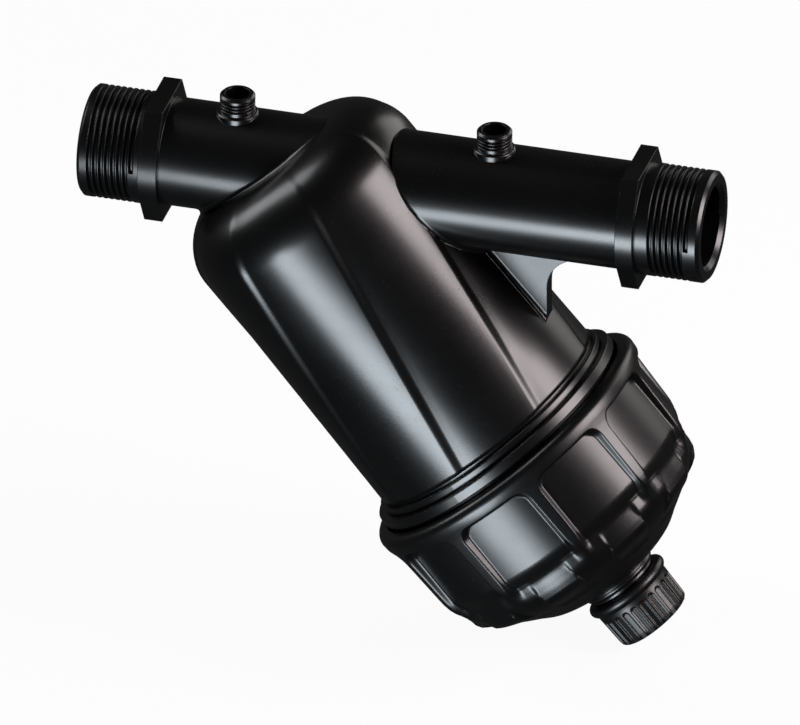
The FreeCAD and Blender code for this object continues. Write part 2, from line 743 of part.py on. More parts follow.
def spring():
    """Coil between the pressure plate and its cup, nearly closed at both ends."""
    freeRise = springLength - springWire - 2 * springEndTurns * springEndPitch
    freePitch = freeRise / (springTurns - 2 * springEndTurns)
    sections = []
    for index in range(int(springTurns * springSections) + 1):
        turned = index / springSections
        free = min(max(turned - springEndTurns, 0), springTurns - 2 * springEndTurns)
        height = springStart + springWire / 2 + springEndPitch * (turned - free) + freePitch * free
        turn = 2 * math.pi * turned
        middle = Vector(springRadius * math.cos(turn), springRadius * math.sin(turn), height)
        run = Vector(-math.sin(turn), math.cos(turn), freePitch / (2 * math.pi * springRadius))
        sections.append(Part.Wire(Part.makeCircle(springWire / 2, middle, run)))
    return Part.makeLoft(sections, True, True)


def springCup():
    """Cup that the knob presses on the spring."""
    rimInner = springRadius + springWire / 2 + cupClearance
    rimOuter = rimInner + cupRimWall
    hole = spindleRadius + spindleClearance
    return revolved((hole, cupStart), [
        (rimInner, cupStart), (rimInner, cupStart - cupRimHeight), (rimOuter, cupStart - cupRimHeight),
        (rimOuter, washerStart), (hole, washerStart)])


def spindle():
    """Rod from the spider's nut through the spine to the knob."""
    end = knobEnd + spindleTail
    top = headEnd - spiderLength - nutThickness
    return revolved((0, top), [
        (spindleRadius - smallEdge, top), (spindleRadius, top + smallEdge), (spindleRadius, end - leadIn),
        (spindleRadius - leadIn, end), (0, end)])


def spindleNut():
    start = headEnd - spiderLength - nutThickness
    nut = hexagonPrism(nutAcrossFlats, start, nutThickness)
    return nut.cut(disc(spindleRadius + spindleClearance, start, start + nutThickness))


def wingKnob():
    """Two-winged knob on the spindle, with a six-sided pocket for its insert."""
    boss = disc(knobBossRadius, knobStart, knobEnd)
    start = knobStart + overlap
    arc = knobWingRound * (1 - math.sqrt(0.5))
    wing = outlineFace((0, start), [
        (knobSpan - knobWingRound, start), ((knobSpan - arc, start + arc), (knobSpan, start + knobWingRound)),
        (knobSpan, knobStart + knobWingHeight), (knobBossRadius, knobEnd - overlap), (0, knobEnd - overlap)])
    wing.translate(Vector(0, -knobWingThickness / 2, 0))
    wing = wing.extrude(Vector(0, knobWingThickness, 0))
    knob = fused([boss, wing, aroundLeg(wing, 180)])
    pocket = hexagonPrism(insertAcrossFlats, knobStart, insertLength)
    return knob.cut([pocket, disc(spindleRadius + spindleClearance, knobStart, knobEnd)])


def knobInsert():
    insert = hexagonPrism(insertAcrossFlats, knobStart, insertLength)
    return insert.cut(disc(spindleRadius + spindleClearance, knobStart, knobEnd))


def capSealRing():
    outer = barrelThreadRadius + capBoreClearance
    return ring(outer - capSealWidth + capBoreClearance, outer - capBoreClearance, mouthStation, sealEnd)


def drainGasket():
    end = drainSpigotEnd + drainGasketThickness
    return ring(drainSpigotRadius - drainGasketWidth, drainSpigotRadius, drainSpigotEnd, end)


legParts = {
    "cap": cap(),
    "cap_seal_ring": capSealRing(),
    "drain_cap": drainCap(),
    "drain_gasket": drainGasket(),
    "cartridge_head": cartridgeHead(),
    "head_seal": headSeal(),
    "swirl_ring": swirlRing(),
    "core": core(),
    "core_plug": corePlug(),
    "end_disc": ring(coreRibRadius + discClearance, plateRadius, swirlEnd, discStackStart),
    "filter_discs": filterDiscs(),
    "pressure_plate": pressurePlate(),
    "spring": spring(),
    "spring_cup": springCup(),
    "washer": ring(spindleRadius + spindleClearance, washerRadius, washerStart, knobStart),
    "wing_knob": wingKnob(),
    "knob_insert": knobInsert(),
    "spindle": spindle(),
    "spindle_nut": spindleNut(),
}
parts = {"housing": housing()}
parts.update({name: onLeg(shape) for name, shape in legParts.items()})

os.makedirs("parts", exist_ok=True)
for name, shape in parts.items():
    print(name, shape.isValid(), len(shape.Solids), round(shape.Volume), flush=True)
    shape.exportStep("parts/" + name + ".step")
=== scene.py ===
import json
import math

import bpy
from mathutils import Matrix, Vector


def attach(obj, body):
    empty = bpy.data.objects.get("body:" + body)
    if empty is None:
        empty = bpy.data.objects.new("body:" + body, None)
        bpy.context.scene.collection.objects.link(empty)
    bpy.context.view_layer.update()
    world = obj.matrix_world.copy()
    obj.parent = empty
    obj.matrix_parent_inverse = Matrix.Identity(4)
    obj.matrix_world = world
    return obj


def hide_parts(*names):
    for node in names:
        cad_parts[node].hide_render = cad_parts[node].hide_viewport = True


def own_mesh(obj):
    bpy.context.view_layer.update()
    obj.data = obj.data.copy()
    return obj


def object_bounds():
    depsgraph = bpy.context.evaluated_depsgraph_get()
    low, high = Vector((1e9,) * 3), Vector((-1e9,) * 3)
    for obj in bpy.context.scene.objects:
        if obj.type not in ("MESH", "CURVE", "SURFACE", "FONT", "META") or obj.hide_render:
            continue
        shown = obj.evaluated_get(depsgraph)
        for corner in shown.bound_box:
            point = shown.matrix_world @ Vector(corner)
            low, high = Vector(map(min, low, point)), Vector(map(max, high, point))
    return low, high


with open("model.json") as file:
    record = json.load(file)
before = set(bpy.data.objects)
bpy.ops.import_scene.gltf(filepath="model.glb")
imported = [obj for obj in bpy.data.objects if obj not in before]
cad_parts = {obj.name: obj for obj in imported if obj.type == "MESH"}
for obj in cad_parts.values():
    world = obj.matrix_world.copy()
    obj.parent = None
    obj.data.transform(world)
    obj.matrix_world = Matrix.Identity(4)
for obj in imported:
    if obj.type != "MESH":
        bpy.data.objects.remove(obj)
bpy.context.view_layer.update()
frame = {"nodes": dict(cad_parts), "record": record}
nodes = frame["nodes"]
millimetre = 0.001
print("frame loaded:", len(nodes), "nodes")


def addObject(name, data):
    item = bpy.data.objects.new(name, data)
    bpy.context.scene.collection.objects.link(item)
    return item


def placeAround(item, centre, direction, distance):
    # stands a camera or a lamp off the centre, facing it
    item.location = centre + direction * distance
    item.rotation_mode = "QUATERNION"
    item.rotation_quaternion = direction.to_track_quat("Z", "Y")


# Camera at the photograph's angle

camera = {
    "azimuth": 15.85,
    "elevation": 30.0,
    "target": (0.1248, -0.0226, -0.0629),
    "width": 0.2947,
    "distance": 1.6,
}


def makeCamera():
    azimuth = math.radians(camera["azimuth"])
    elevation = math.radians(camera["elevation"])
    direction = Vector((math.sin(azimuth) * math.cos(elevation), -math.cos(azimuth) * math.cos(elevation),
                        math.sin(elevation)))
    data = bpy.data.cameras.new("camera")
    data.type = "ORTHO"
    data.ortho_scale = camera["width"]
    item = addObject("camera", data)
    placeAround(item, Vector(camera["target"]), direction, camera["distance"])
    bpy.context.scene.camera = item


makeCamera()
print("camera ready")


# Shader building

class Wire:
    def __init__(self, graph, socket):
        self.graph = graph
        self.socket = socket

    def calc(self, operation, first, second):
        return self.graph.add("ShaderNodeMath", {"operation": operation}, {0: first, 1: second})

    def __add__(self, other):
        return self.calc("ADD", self, other)

    def __radd__(self, other):
        return self.calc("ADD", other, self)

    def __sub__(self, other):
        return self.calc("SUBTRACT", self, other)

    def __rsub__(self, other):
        return self.calc("SUBTRACT", other, self)

    def __mul__(self, other):
        return self.calc("MULTIPLY", self, other)

    def __rmul__(self, other):
        return self.calc("MULTIPLY", other, self)


class Graph:
    def __init__(self, tree):
        self.tree = tree

    def add(self, kind, settings, inputs, output=0):
        node = self.tree.nodes.new(kind)
        for name, value in settings.items():
            if name == "stops":
                for element, (position, level) in zip(node.color_ramp.elements, value):
                    element.position = position
                    element.color = (level, level, level, 1)
            else:
                setattr(node, name, value)
        for key, value in inputs.items():
            self.feed(node.inputs[key], value)
        return Wire(self, node.outputs[output])

    def feed(self, socket, value):
        if isinstance(value, Wire):
            self.tree.links.new(value.socket, socket)
        else:
            socket.default_value = value


class Finish(Graph):
    def __init__(self, name, constants):
        self.material = bpy.data.materials.new(name)
        self.material.use_nodes = True
        super().__init__(self.material.node_tree)
        self.shader = self.tree.nodes["Principled BSDF"]
        for socket, value in constants.items():
            self.set(socket, value)
        self.place = self.add("ShaderNodeTexCoord", {}, {}, "Object")

    def set(self, socket, value):
        self.feed(self.shader.inputs[socket], value)

    def noise(self, scale, detail=2.0, place=None):
        place = place or self.place
        return self.add("ShaderNodeTexNoise", {}, {"Vector": place, "Scale": scale, "Detail": detail})

    def stretched(self, scale):
        # places with a scale along each axis, for brushed and drawn marks
        return self.add("ShaderNodeVectorMath", {"operation": "MULTIPLY"}, {0: self.place, 1: scale})

    def ramp(self, value, low, high):
        # 0 below the low value, 1 above the high one
        return self.add("ShaderNodeValToRGB", {"stops": [(low, 0), (high, 1)]}, {0: value})

    def blend(self, share, first, second):
        return self.add("ShaderNodeMix", {"data_type": "RGBA"}, {0: share, 6: first, 7: second}, 2)

    def edges(self, radius):
        # rounded normal at sharp edges, and how far it turns from the true one
        soft = self.add("ShaderNodeBevel", {"samples": 6}, {"Radius": radius})
        true = self.add("ShaderNodeNewGeometry", {}, {}, "Normal")
        along = self.add("ShaderNodeVectorMath", {"operation": "DOT_PRODUCT"}, {0: soft, 1: true}, "Value")
        return soft, 1 - along

    def bump(self, height, look, normal=None):
        inputs = {"Height": height, "Strength": look["bump"], "Distance": look["bumpHeight"]}
        if normal:
            inputs["Normal"] = normal
        self.set("Normal", self.add("ShaderNodeBump", {}, inputs))


# Finishes, one for each slot of the record. A mark's own name holds the scale of its noise, its Range the
# values between which it appears, and its other names how much it changes colour, roughness or bump

glossBlack = {
    "color": (0.0012, 0.0012, 0.0013, 1), "dusty": (0.0032, 0.0032, 0.0033, 1),
    "worn": (0.010, 0.010, 0.0104, 1), "roughness": 0.23,
    "cloud": 38, "cloudDust": 0.45, "cloudRough": 0.07,
    "flow": (25, 180, 180), "flowRough": 0.03, "flowBump": 0.35,
    "speck": 900, "speckRange": (0.66, 0.76), "speckDust": 0.35, "speckRough": 0.06,
    "edge": 0.0004,  # radius in metres of the rounding along sharp edges, which is also where wear shows
    "wearRange": (0.02, 0.3), "wearPatches": 0.6, "wearColor": 0.6, "wearRough": 0.05,
    "grain": 2400, "bump": 0.16, "bumpHeight": 0.00002,
}
satinBlack = dict(glossBlack, roughness=0.26, cloud=52, grain=2100)
drainBlack = dict(glossBlack, roughness=0.31, cloud=120, grain=2600, edge=0.00025)


def mouldedPlastic(name, look):
    finish = Finish(name, {"IOR": 1.5})
    cloud = finish.noise(look["cloud"], detail=3.0)
    flow = finish.noise(1.0, detail=4.0, place=finish.stretched(look["flow"]))
    speck = finish.ramp(finish.noise(look["speck"], detail=1.0), *look["speckRange"])
    grain = finish.noise(look["grain"])
    soft, edge = finish.edges(look["edge"])
    patches = 1 - look["wearPatches"] / 2 + look["wearPatches"] * cloud
    wear = finish.ramp(edge * patches, *look["wearRange"])
    dust = look["cloudDust"] * cloud + look["speckDust"] * speck
    base = finish.blend(dust, look["color"], look["dusty"])
    finish.set("Base Color", finish.blend(look["wearColor"] * wear, base, look["worn"]))
    finish.set("Roughness", look["roughness"] + look["cloudRough"] * cloud + look["flowRough"] * flow
               + look["speckRough"] * speck + look["wearRough"] * wear)
    finish.bump(grain + look["flowBump"] * flow, look, soft)
    return finish.material


sealRubber = {
    "color": (0.018, 0.018, 0.018, 1), "bloomed": (0.045, 0.044, 0.042, 1), "roughness": 0.62,
    "bloom": 240, "bloomRange": (0.45, 0.75), "bloomColor": 0.6, "bloomRough": 0.18, "bloomBump": 0.5,
    "grain": 3200, "bump": 0.3, "bumpHeight": 0.00004,
}


def rubber(name, look):
    finish = Finish(name, {"IOR": 1.45, "Specular IOR Level": 0.4})
    bloom = finish.ramp(finish.noise(look["bloom"], detail=5.0), *look["bloomRange"])
    grain = finish.noise(look["grain"])
    finish.set("Base Color", finish.blend(look["bloomColor"] * bloom, look["color"], look["bloomed"]))
    finish.set("Roughness", look["roughness"] + look["bloomRough"] * bloom)
    finish.bump(grain + look["bloomBump"] * bloom, look)
    return finish.material


cartridgeGrey = {
    "color": (0.024, 0.024, 0.026, 1), "light": (0.042, 0.042, 0.044, 1), "roughness": 0.46,
    "cloud": 60, "cloudColor": 0.7, "cloudRough": 0.12,
    "edge": 0.0003, "wearRange": (0.03, 0.4), "wearColor": 0.35,
    "grain": 1500, "grainRough": 0.05, "bump": 0.3, "bumpHeight": 0.00005,
}
discRed = dict(cartridgeGrey, color=(0.40, 0.022, 0.016, 1), light=(0.55, 0.06, 0.04, 1), roughness=0.42,
               cloud=90, edge=0.0002, grain=2200)


def mattPlastic(name, look):
    finish = Finish(name, {"IOR": 1.5})
    cloud = finish.noise(look["cloud"], detail=4.0)
    grain = finish.noise(look["grain"], detail=3.0)
    soft, edge = finish.edges(look["edge"])
    wear = finish.ramp(edge, *look["wearRange"])
    base = finish.blend(look["cloudColor"] * cloud, look["color"], look["light"])
    finish.set("Base Color", finish.blend(look["wearColor"] * wear, base, look["light"]))
    finish.set("Roughness", look["roughness"] + look["cloudRough"] * cloud + look["grainRough"] * grain)
    finish.bump(grain, look, soft)
    return finish.material


stainlessSteel = {
    "color": (0.56, 0.56, 0.55, 1), "dull": (0.40, 0.40, 0.39, 1), "roughness": 0.24,
    "brush": (300, 2600, 2600), "brushDull": 0.25, "brushRough": 0.14,
    "stain": 160, "stainRange": (0.4, 0.8), "stainDull": 0.5, "stainRough": 0.12,
    "edge": 0.0002, "bump": 0.2, "bumpHeight": 0.00003,
}
knobBrass = dict(stainlessSteel, color=(0.66, 0.47, 0.20, 1), dull=(0.42, 0.28, 0.12, 1), roughness=0.28,
                 brush=(2200, 2200, 500))


def metal(name, look):
    finish = Finish(name, {"Metallic": 1.0})
    brush = finish.noise(1.0, detail=3.0, place=finish.stretched(look["brush"]))
    stain = finish.ramp(finish.noise(look["stain"], detail=5.0), *look["stainRange"])
    soft, _ = finish.edges(look["edge"])
    dull = look["stainDull"] * stain + look["brushDull"] * brush
    finish.set("Base Color", finish.blend(dull, look["color"], look["dull"]))
    finish.set("Roughness", look["roughness"] + look["brushRough"] * brush + look["stainRough"] * stain)
    finish.bump(brush, look, soft)
    return finish.material


finishes = {
    "body_plastic": mouldedPlastic("body plastic", glossBlack),
    "cap_plastic": mouldedPlastic("cap plastic", satinBlack),
    "drain_plastic": mouldedPlastic("drain plastic", drainBlack),
    "seal_rubber": rubber("seal rubber", sealRubber),
    "core_plastic": mattPlastic("cartridge plastic", cartridgeGrey),
    "disc_plastic": mattPlastic("disc plastic", discRed),
    "steel": metal("steel", stainlessSteel),
    "brass": metal("brass", knobBrass),
}
for part in frame["record"]["subparts"]:
    for slot in nodes[part["node"]].material_slots:
        slot.material = finishes[part["material_slot"]]
print("finishes ready:", len(finishes))


# The leg is the barrel's axis: radius and station, in millimetres, are measured across and along it

leg = {"position": 0.0713, "angle": math.radians(49.7)}
legStart = Vector((leg["position"], 0, 0))
legAxis = Vector((math.cos(leg["angle"]), 0, -math.sin(leg["angle"])))
legFront = Vector((0, -1, 0))
legSide = Vector((math.sin(leg["angle"]), 0, math.cos(leg["angle"])))


def onLeg(radius, station, angle):
    outward = math.cos(angle) * legFront + math.sin(angle) * legSide
    return legStart + millimetre * (station * legAxis + radius * outward)


def addPiece(data, slot, body, node):
    # a piece takes the name of its mesh, moves with the body and stands in for the frame's node
    data.materials.append(finishes[slot])
    piece = addObject(data.name, data)
    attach(piece, body)
    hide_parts(node)
    print(data.name, len(data.polygons), "faces")
    return piece


def smoothStep(value):
    share = min(max(value, 0.0), 1.0)
    return share * share * (3 - 2 * share)


# Housing: the frame's mesh, with the outside of its barrel made again as one fine lobed surface

barrel = {
    "top": -3.6, "crown": 26.4, "shoulder": 21.8,  # the flat top, and the radius of the round below it
    "end": 123.6, "endRadius": 49.4, "gapRadius": 48.1,  # the end face runs in to the gap above the rings
    "lobes": 8, "depth": 0.93, "step": 5.2,  # a lobe starts with a step, this many degrees wide
    "twist": -0.2106, "phase": 17.4, "phaseStation": 71.0,  # degrees a millimetre, and where a step stands
    "rampStart": -7.0, "rampLength": 22.0,  # the lobes reach their depth along the shoulder
    "stepColumns": 12, "slopeColumns": 14, "rowLength": 1.6,
    "below": -2.6, "above": 0.35, "endAbove": 0.5,  # how far off the smooth barrel a replaced face may lie
    "facing": 0.9, "slack": 0.05, "endSlack": 0.02,  # how square to it, and slack on radius and station
    "pipeCover": 18.6, "web": 104.3, "webCover": 2.6,  # left out inside the pipe and inside the web
}
sideStart = barrel["top"] + barrel["shoulder"]
sideRadius = barrel["crown"] + barrel["shoulder"]
shoulderArc = barrel["shoulder"] * math.pi / 2


def sideAt(station):
    # radius of the drafted side
    share = (station - sideStart) / (barrel["end"] - sideStart)
    return sideRadius + (barrel["endRadius"] - sideRadius) * share


def barrelLine(run):
    # radius, station and outward normal at a distance along the rounded shoulder and the drafted side
    if run < shoulderArc:
        turn = run / barrel["shoulder"]
        radius = barrel["crown"] + barrel["shoulder"] * math.sin(turn)
        station = sideStart - barrel["shoulder"] * math.cos(turn)
        return radius, station, math.sin(turn), -math.cos(turn)
    station = sideStart + run - shoulderArc
    return sideAt(station), station, 1.0, 0.0


def lobeDrop(past, station):
    # how far the surface lies under the smooth barrel, at degrees past the start of a lobe's step
    pitch = 360 / barrel["lobes"]
    if past < barrel["step"]:
        share = smoothStep(past / barrel["step"])
    else:
        share = (pitch - past) / (pitch - barrel["step"])
    return barrel["depth"] * share * smoothStep((station - barrel["rampStart"]) / barrel["rampLength"])


def aboveBarrel(point):
    # height over the smooth barrel, station, radius and outward normal of a point of the frame
    offset = (point - legStart) / millimetre
    station = offset.dot(legAxis)
    outward = offset - station * legAxis
    radius = outward.length
    outward.normalize()
    if station < sideStart:
        normal = Vector((radius - barrel["crown"], station - sideStart))
        height = normal.length - barrel["shoulder"]
        normal.normalize()
        return height, station, radius, normal.x * outward + normal.y * legAxis
    return radius - sideAt(station), station, radius, outward


def onBarrel(face, places):
    # true for a face of the frame's housing that the fine surface takes over
    heights, stations, radii, normals = zip(*[places[index] for index in face.vertices])
    onEnd = (max(abs(station - barrel["end"]) for station in stations) < barrel["endSlack"]
             and min(radii) > barrel["gapRadius"] - barrel["slack"] and max(heights) < barrel["endAbove"])
    onSide = (barrel["below"] < min(heights) and max(heights) < barrel["above"]
              and max(stations) < barrel["end"] + barrel["endSlack"]
              and min(radii) > barrel["crown"] - barrel["slack"]
              and face.normal.dot(normals[0]) > barrel["facing"])
    return onEnd or onSide


def isCovered(point, turn):
    # true for a point inside the pipe, or inside the web between the pipe and the barrel
    place = (point - legStart) / millimetre
    inPipe = math.hypot(place.y, place.z) < barrel["pipeCover"]
    inWeb = (abs(place.y) < barrel["webCover"] and place.z < -barrel["pipeCover"]
             and place.x < barrel["web"] - barrel["webCover"] and math.sin(turn) > 0)
    return inPipe or inWeb


def barrelColumns():
    # degrees at a lobe's start and past it, closer together across the steps
    pitch = 360 / barrel["lobes"]
    step, stepColumns, slopeColumns = barrel["step"], barrel["stepColumns"], barrel["slopeColumns"]
    steps = [step * index / stepColumns for index in range(stepColumns)]
    slopes = [step + (pitch - step) * index / slopeColumns for index in range(slopeColumns)]
    return [(pitch * lobe, past) for lobe in range(barrel["lobes"]) for past in steps + slopes]


def barrelGrid():
    # vertices and faces of the fine surface, left open where the pipe and the web cover it
    whole = shoulderArc + barrel["end"] - sideStart
    rows = round(whole / barrel["rowLength"])
    columns = barrelColumns()
    vertices = []
    covered = []
    for row in range(rows + 2):  # the row past the last one closes the end face, in to the gap
        radius, station, across, along = barrelLine(min(row, rows) * whole / rows)
        for lobeStart, past in columns:
            turn = math.radians(barrel["phase"] - barrel["step"] / 2 + lobeStart + past
                                + barrel["twist"] * (station - barrel["phaseStation"]))
            drop = lobeDrop(past, station)
            rim = radius - across * drop if row <= rows else barrel["gapRadius"]
            point = onLeg(rim, station - along * drop, turn)
            vertices.append(point)
            covered.append(isCovered(point, turn))
    faces = []
    for row in range(rows + 1):
        first = row * len(columns)
        second = first + len(columns)
        for column in range(len(columns)):
            after = (column + 1) % len(columns)
            corners = (first + column, second + column, second + after, first + after)
            if not all(covered[corner] for corner in corners):
                faces.append(corners)
    return vertices, faces


def makeHousing():
    source = nodes["housing"].data
    places = [aboveBarrel(vertex.co) for vertex in source.vertices]
    kept = [face for face in source.polygons if not onBarrel(face, places)]
    vertices = [vertex.co.copy() for vertex in source.vertices]
    gridVertices, gridFaces = barrelGrid()
    faces = [tuple(face.vertices) for face in kept]
    faces += [tuple(len(vertices) + corner for corner in face) for face in gridFaces]
    normals = [source.corner_normals[loop].vector.copy() for face in kept for loop in face.loop_indices]
    normals += [Vector((0, 0, 0)) for face in gridFaces for corner in face]  # zero keeps the smooth normal
    data = bpy.data.meshes.new("housing_shell")
    data.from_pydata(vertices + gridVertices, [], faces)
    data.shade_smooth()
    data.normals_split_custom_set(normals)
    addPiece(data, "body_plastic", "body", "housing")


makeHousing()


# Turned meshes: a closed outline swept round the leg, with its outside pressed in by a relief

sharpAngle = math.radians(48)


def smoothCurve(points, spacing):
    # cubic curve through (radius, station) points, with no corner at any of them
    padded = [points[0]] + points + [points[-1]]
    curve = []
    for index in range(1, len(padded) - 2):
        before, first, second, after = [Vector(point) for point in padded[index - 1:index + 3]]
        count = max(1, round((second - first).length / spacing))
        for step in range(count):
            t = step / count
            curve.append(tuple(0.5 * (2 * first + (second - before) * t
                                      + (2 * before - 5 * first + 4 * second - after) * t * t
                                      + (3 * first - before - 3 * second + after) * t * t * t)))
    return curve + [points[-1]]


def fineRows(curve, bands):
    # adds rows between the curve's own, where a (from, to, spacing) band asks for closer ones
    rows = []
    for first, second in zip(curve, curve[1:]):
        middle = (first[1] + second[1]) / 2
        spacings = [spacing for low, high, spacing in bands if low <= middle <= high]
        count = max(1, round(math.dist(first, second) / min(spacings))) if spacings else 1
        rows += [tuple(Vector(first).lerp(Vector(second), step / count)) for step in range(count)]
    return rows + [curve[-1]]


def arcPoints(centre, radius, start, end, count):
    # angles in degrees from outward towards the drain
    angles = [math.radians(start + (end - start) * step / count) for step in range(count + 1)]
    return [(centre[0] + radius * math.cos(angle), centre[1] + radius * math.sin(angle)) for angle in angles]


def valueAt(pairs, station):
    # straight interpolation of (value, station) pairs
    if station <= pairs[0][1]:
        return pairs[0][0]
    for (low, lowStation), (high, highStation) in zip(pairs, pairs[1:]):
        if station <= highStation:
            return low + (high - low) * (station - lowStation) / (highStation - lowStation)
    return pairs[-1][0]


def columnAngles(count, phase, marks):
    # columns on both sides of the middle of each panel or flute
    pitch = 360 / count
    mirrored = sorted(set([-mark for mark in marks] + marks))
    return [phase + pitch * index + mark for index in range(count) for mark in mirrored]


def acrossFrom(angle, count, phase, radius):
    # distance from the middle of the nearest panel or flute, straight across
    pitch = 360 / count
    return radius * math.sin(math.radians((angle - phase + pitch / 2) % pitch - pitch / 2))


def turnedMesh(name, outside, inside, angles, relief):
    outline = [(point, True) for point in outside] + [(point, False) for point in inside]
    vertices = []
    for angle in angles:
        for (radius, station), pressed in outline:
            drop = relief(angle, radius, station) if pressed else 0
            vertices.append(onLeg(radius - drop, station, math.radians(angle)))
    rows = len(outline)
    faces = []
    for column in range(len(angles)):
        first = column * rows
        second = (column + 1) % len(angles) * rows
        for row in range(rows):
            after = (row + 1) % rows
            faces.append((first + row, first + after, second + after, second + row))
    data = bpy.data.meshes.new(name)
    data.from_pydata(vertices, [], faces)
    data.shade_smooth()
    data.set_sharp_from_angle(angle=sharpAngle)
    return data


# Screw cap: lip, ten grip panels between ribs, and a flat pad below each panel

capShape = {
    "panels": 10, "phase": 9.0,
    "lipCentre": (56.0, 136.4), "lipRound": 3.4, "lipSteps": 8,
    "skirt": [(59.4, 136.4), (59.25, 138.4), (58.8, 141.5), (58.45, 146.0), (58.1, 154.0), (57.8, 162.0),
              (57.45, 167.0), (56.8, 170.0), (55.6, 173.0), (54.1, 176.3), (52.0, 179.6), (49.3, 182.8),
              (45.6, 185.9), (39.8, 189.6), (34.3, 193.0), (28.9, 196.5), (22.0, 198.9), (16.2, 199.9)],
    "skirtSpacing": 1.6,
    "skirtBands": [(138.6, 142.0, 0.22), (142.0, 146.0, 0.55), (165.0, 177.0, 0.45), (177.0, 186.0, 0.9)],
    "floor": [(55.6, 166.0), (55.35, 167.2), (54.75, 168.7), (54.0, 170.2), (53.3, 171.6), (52.85, 172.8),
              (52.7, 174.0), (52.65, 176.0), (52.5, 178.8), (52.1, 181.3), (50.9, 183.3), (48.5, 185.0),
              (45.2, 186.6), (41.4, 188.2), (37.9, 190.2)],  # how far in the panels and pads are pressed
    "panelHalf": 15.2, "panelTop": 140.2, "panelCorner": 5.0,  # half its width, and its rounded upper corners
    "panelDepth": [(9.0, 170.8), (2.8, 171.2), (2.5, 172.6), (1.9, 174.0), (1.2, 175.6), (0.5, 177.2),
                   (0.0, 179.0)],
    "panelEdge": [(1.5, 165.0), (2.6, 169.0), (4.6, 173.0), (6.0, 176.0)],  # how wide the soft edge is
    "padHalf": 8.4, "padEdge": [(3.4, 171.0), (2.4, 174.0), (1.3, 177.0)],
    "reliefStart": 138.2, "reliefEnd": 190.0,
    "neck": [(16.2, 199.9), (15.2, 200.3), (14.5, 201.0), (14.7, 201.6), (14.9, 202.3), (14.6, 203.0),
             (13.6, 203.3), (13.4, 203.9), (13.5, 204.6)],
    "neckSpacing": 0.35,
    "spigot": [(10.6, 204.6), (10.6, 218.4), (10.0, 219.0), (8.0, 219.0), (8.0, 195.4)],
    "inside": [(20.0, 194.9), (27.8, 191.4), (36.2, 184.9), (44.0, 178.4), (47.2, 172.8), (49.8, 167.8)],
    "insideSpacing": 3.0,
    "seat": [(50.6, 164.0), (48.1, 164.0), (48.1, 162.5), (53.7, 162.5), (53.7, 135.0), (54.3, 133.0)],
    "marks": [0, 2, 4, 6, 7.4, 8.1, 8.6, 9.0, 9.4, 9.8, 10.2, 10.8, 11.6, 12.4, 13.2, 13.9, 14.3, 14.6, 14.85,
              15.1, 15.35, 15.6, 15.85, 16.15, 16.6, 17.3],  # degrees from a panel's middle, one for a column
}


def capRelief(angle, radius, station):
    # depth of the panel, which fades out downwards, and of the pad, which goes on to the floor
    shape = capShape
    if station < shape["reliefStart"] or station > shape["reliefEnd"]:
        return 0
    across = abs(acrossFrom(angle, shape["panels"], shape["phase"], radius))
    reach = across - shape["panelHalf"] + shape["panelCorner"]
    rise = shape["panelTop"] + shape["panelCorner"] - station
    outer = math.hypot(max(reach, 0), max(rise, 0)) + min(max(reach, rise), 0) - shape["panelCorner"]
    depth = radius - valueAt(shape["floor"], station)
    panel = max(min(depth, valueAt(shape["panelDepth"], station)), 0)
    besidePanel = outer / valueAt(shape["panelEdge"], station)
    besidePad = (across - shape["padHalf"]) / valueAt(shape["padEdge"], station)
    return panel * smoothStep(0.5 - besidePanel) + (depth - panel) * smoothStep(0.5 - besidePad)


def makeCap():
    shape = capShape
    lip = arcPoints(shape["lipCentre"], shape["lipRound"], -90, 0, shape["lipSteps"])
    skirt = fineRows(smoothCurve(shape["skirt"], shape["skirtSpacing"]), shape["skirtBands"])
    neck = smoothCurve(shape["neck"], shape["neckSpacing"])
    outside = lip[:-1] + skirt + neck[1:]
    inside = shape["spigot"] + smoothCurve(shape["inside"], shape["insideSpacing"]) + shape["seat"]
    angles = columnAngles(shape["panels"], shape["phase"], shape["marks"])
    addPiece(turnedMesh("cap_shell", outside, inside, angles, capRelief), "cap_plastic", "cap", "cap")


makeCap()


# Drain cap: a rounded flange and a body with round-ended flutes

drainShape = {
    "flutes": 24, "phase": 3.0, "width": 2.5, "depth": 0.62, "edge": 0.7,
    "fluteTop": 211.4, "reliefStart": 210.4, "reliefRadius": 14.2, "fade": 1.4,
    "flange": [(12.6, 205.1), (15.0, 205.1), (16.2, 205.5), (16.8, 206.4), (16.9, 207.1), (16.8, 207.8),
               (16.2, 208.7), (15.5, 209.2)],
    "flangeSpacing": 0.35,
    "body": [(15.5, 209.2), (15.4, 209.9), (15.35, 212.0), (15.2, 217.0), (15.05, 221.6), (14.85, 222.7),
             (14.3, 223.5), (13.4, 223.9)],
    "bodySpacing": 0.8, "bodyBands": [(210.4, 213.4, 0.25)],
    "end": 224.0, "face": [(12.6, 224.0), (6.0, 223.7), (0.4, 223.6)],
    "inside": [(0.4, 220.8), (10.9, 220.8), (10.9, 206.0), (11.4, 205.1)],
    "marks": [0, 1.6, 3.0, 3.7, 4.2, 4.6, 5.0, 5.4, 5.9, 6.6],  # degrees from a flute's middle
}


def drainRelief(angle, radius, station):
    # depth of a flute, which fades out at the rounded end
    shape = drainShape
    if station < shape["reliefStart"] or radius < shape["reliefRadius"]:
        return 0
    across = acrossFrom(angle, shape["flutes"], shape["phase"], radius)
    rise = max(shape["fluteTop"] + shape["width"] / 2 - station, 0)
    outer = math.hypot(across, rise) - shape["width"] / 2
    fade = smoothStep((shape["end"] - station) / shape["fade"])
    return shape["depth"] * fade * smoothStep(0.5 - outer / shape["edge"])


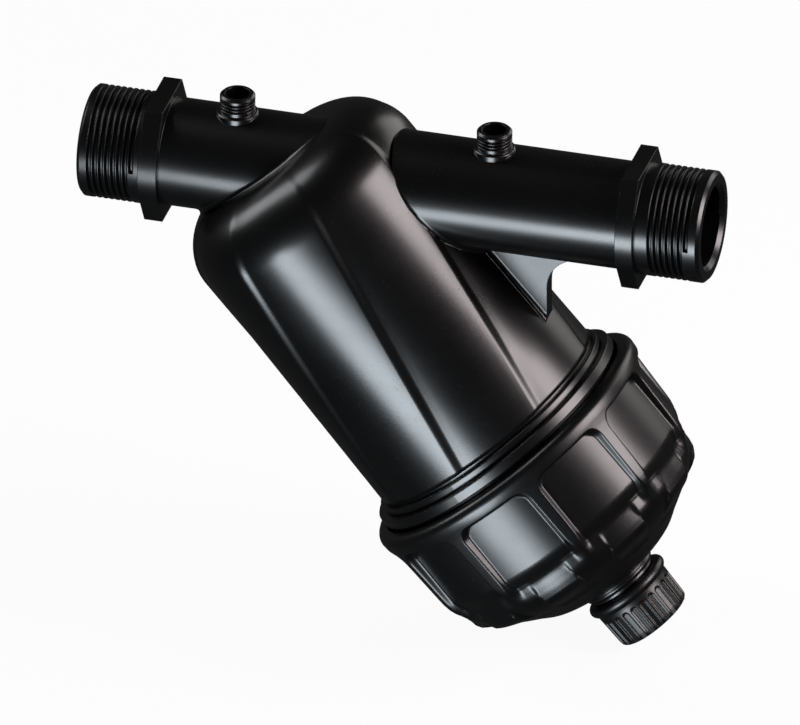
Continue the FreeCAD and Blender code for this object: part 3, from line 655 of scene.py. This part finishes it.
def makeDrainCap():
    shape = drainShape
    flange = smoothCurve(shape["flange"], shape["flangeSpacing"])
    body = fineRows(smoothCurve(shape["body"], shape["bodySpacing"]), shape["bodyBands"])
    outside = flange[:-1] + body + shape["face"]
    angles = columnAngles(shape["flutes"], shape["phase"], shape["marks"])
    data = turnedMesh("drain_cap_shell", outside, shape["inside"], angles, drainRelief)
    addPiece(data, "drain_plastic", "drain_cap", "drain_cap")


makeDrainCap()


# Spring: the frame's coils, copied as a piece of its own that moves with the pressure plate

springShape = {"seat": 143.8, "length": 20.0, "travel": 4.0}


def makeSpring():
    shape = springShape
    data = nodes["spring"].data.copy()
    data.name = "spring_coils"
    data.materials.clear()
    piece = addPiece(data, "steel", "pressure_plate", "spring")
    onLeg(0, shape["seat"], 0)
    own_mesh(piece)


makeSpring()
print("pieces ready")


# Stage and light

stage = {
    "floorSize": 6.0, "floorColor": (0.92, 0.92, 0.92, 1), "floorRoughness": 0.9,
    "mottle": 9.0, "mottleColor": 0.3,
    "glow": 0.94,  # how much of the floor is its own white light
    "dim": (0.035, 0.035, 0.035, 1), "white": (1, 1, 1, 1),  # the world's light, and what the camera sees
}


def makeStage():
    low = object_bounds()[0].z
    half = stage["floorSize"] / 2
    data = bpy.data.meshes.new("floor")
    data.from_pydata([(-half, -half, low), (half, -half, low), (half, half, low), (-half, half, low)], [],
                     [(0, 1, 2, 3)])
    floor = addObject("floor", data)
    floor.visible_glossy = False
    floor.visible_diffuse = False
    floor.visible_shadow = False
    finish = Finish("floor", {"Roughness": stage["floorRoughness"]})
    mottle = finish.noise(stage["mottle"], detail=3.0)
    finish.set("Base Color", finish.blend(stage["mottleColor"] * mottle, stage["floorColor"], stage["white"]))
    light = finish.add("ShaderNodeEmission", {}, {"Strength": 1.0})
    lit = Wire(finish, finish.shader.outputs[0])
    mix = finish.add("ShaderNodeMixShader", {}, {0: stage["glow"], 1: lit, 2: light})
    finish.feed(finish.tree.nodes["Material Output"].inputs[0], mix)
    data.materials.append(finish.material)


def makeWorld():
    world = bpy.data.worlds.new("studio")
    bpy.context.scene.world = world
    world.use_nodes = True
    graph = Graph(world.node_tree)
    seen = graph.add("ShaderNodeLightPath", {}, {}, "Is Camera Ray")
    inputs = {0: seen, 6: stage["dim"], 7: stage["white"]}
    color = graph.add("ShaderNodeMix", {"data_type": "RGBA"}, inputs, 2)
    graph.feed(graph.tree.nodes["Background"].inputs[0], color)


lamps = [
    {"name": "front lamp", "direction": (-0.06, -0.92, -0.36), "distance": 0.9, "width": 0.5, "height": 0.34,
     "color": (0.84, 0.93, 1.0), "power": 9.5},
    {"name": "right lamp", "direction": (0.88, 0.0, 0.46), "distance": 0.9, "width": 0.45, "height": 0.5,
     "color": (1.0, 0.90, 0.91), "power": 9},
    {"name": "left lamp", "direction": (-0.80, 0.08, 0.59), "distance": 1.0, "width": 0.36, "height": 0.9,
     "color": (0.97, 0.98, 1.0), "power": 5.5},
    {"name": "back lamp", "direction": (0.42, 0.83, 0.36), "distance": 1.1, "width": 0.8, "height": 0.6,
     "color": (1.0, 0.98, 0.95), "power": 3},
]


def makeLamps():
    centre = Vector(camera["target"])
    for lamp in lamps:
        data = bpy.data.lights.new(lamp["name"], "AREA")
        data.shape = "RECTANGLE"
        data.size = lamp["width"]
        data.size_y = lamp["height"]
        data.color = lamp["color"]
        data.energy = lamp["power"]
        item = addObject(lamp["name"], data)
        placeAround(item, centre, Vector(lamp["direction"]).normalized(), lamp["distance"])


makeStage()
makeWorld()
makeLamps()
bpy.context.scene.view_settings.view_transform = "Standard"
print("stage ready")
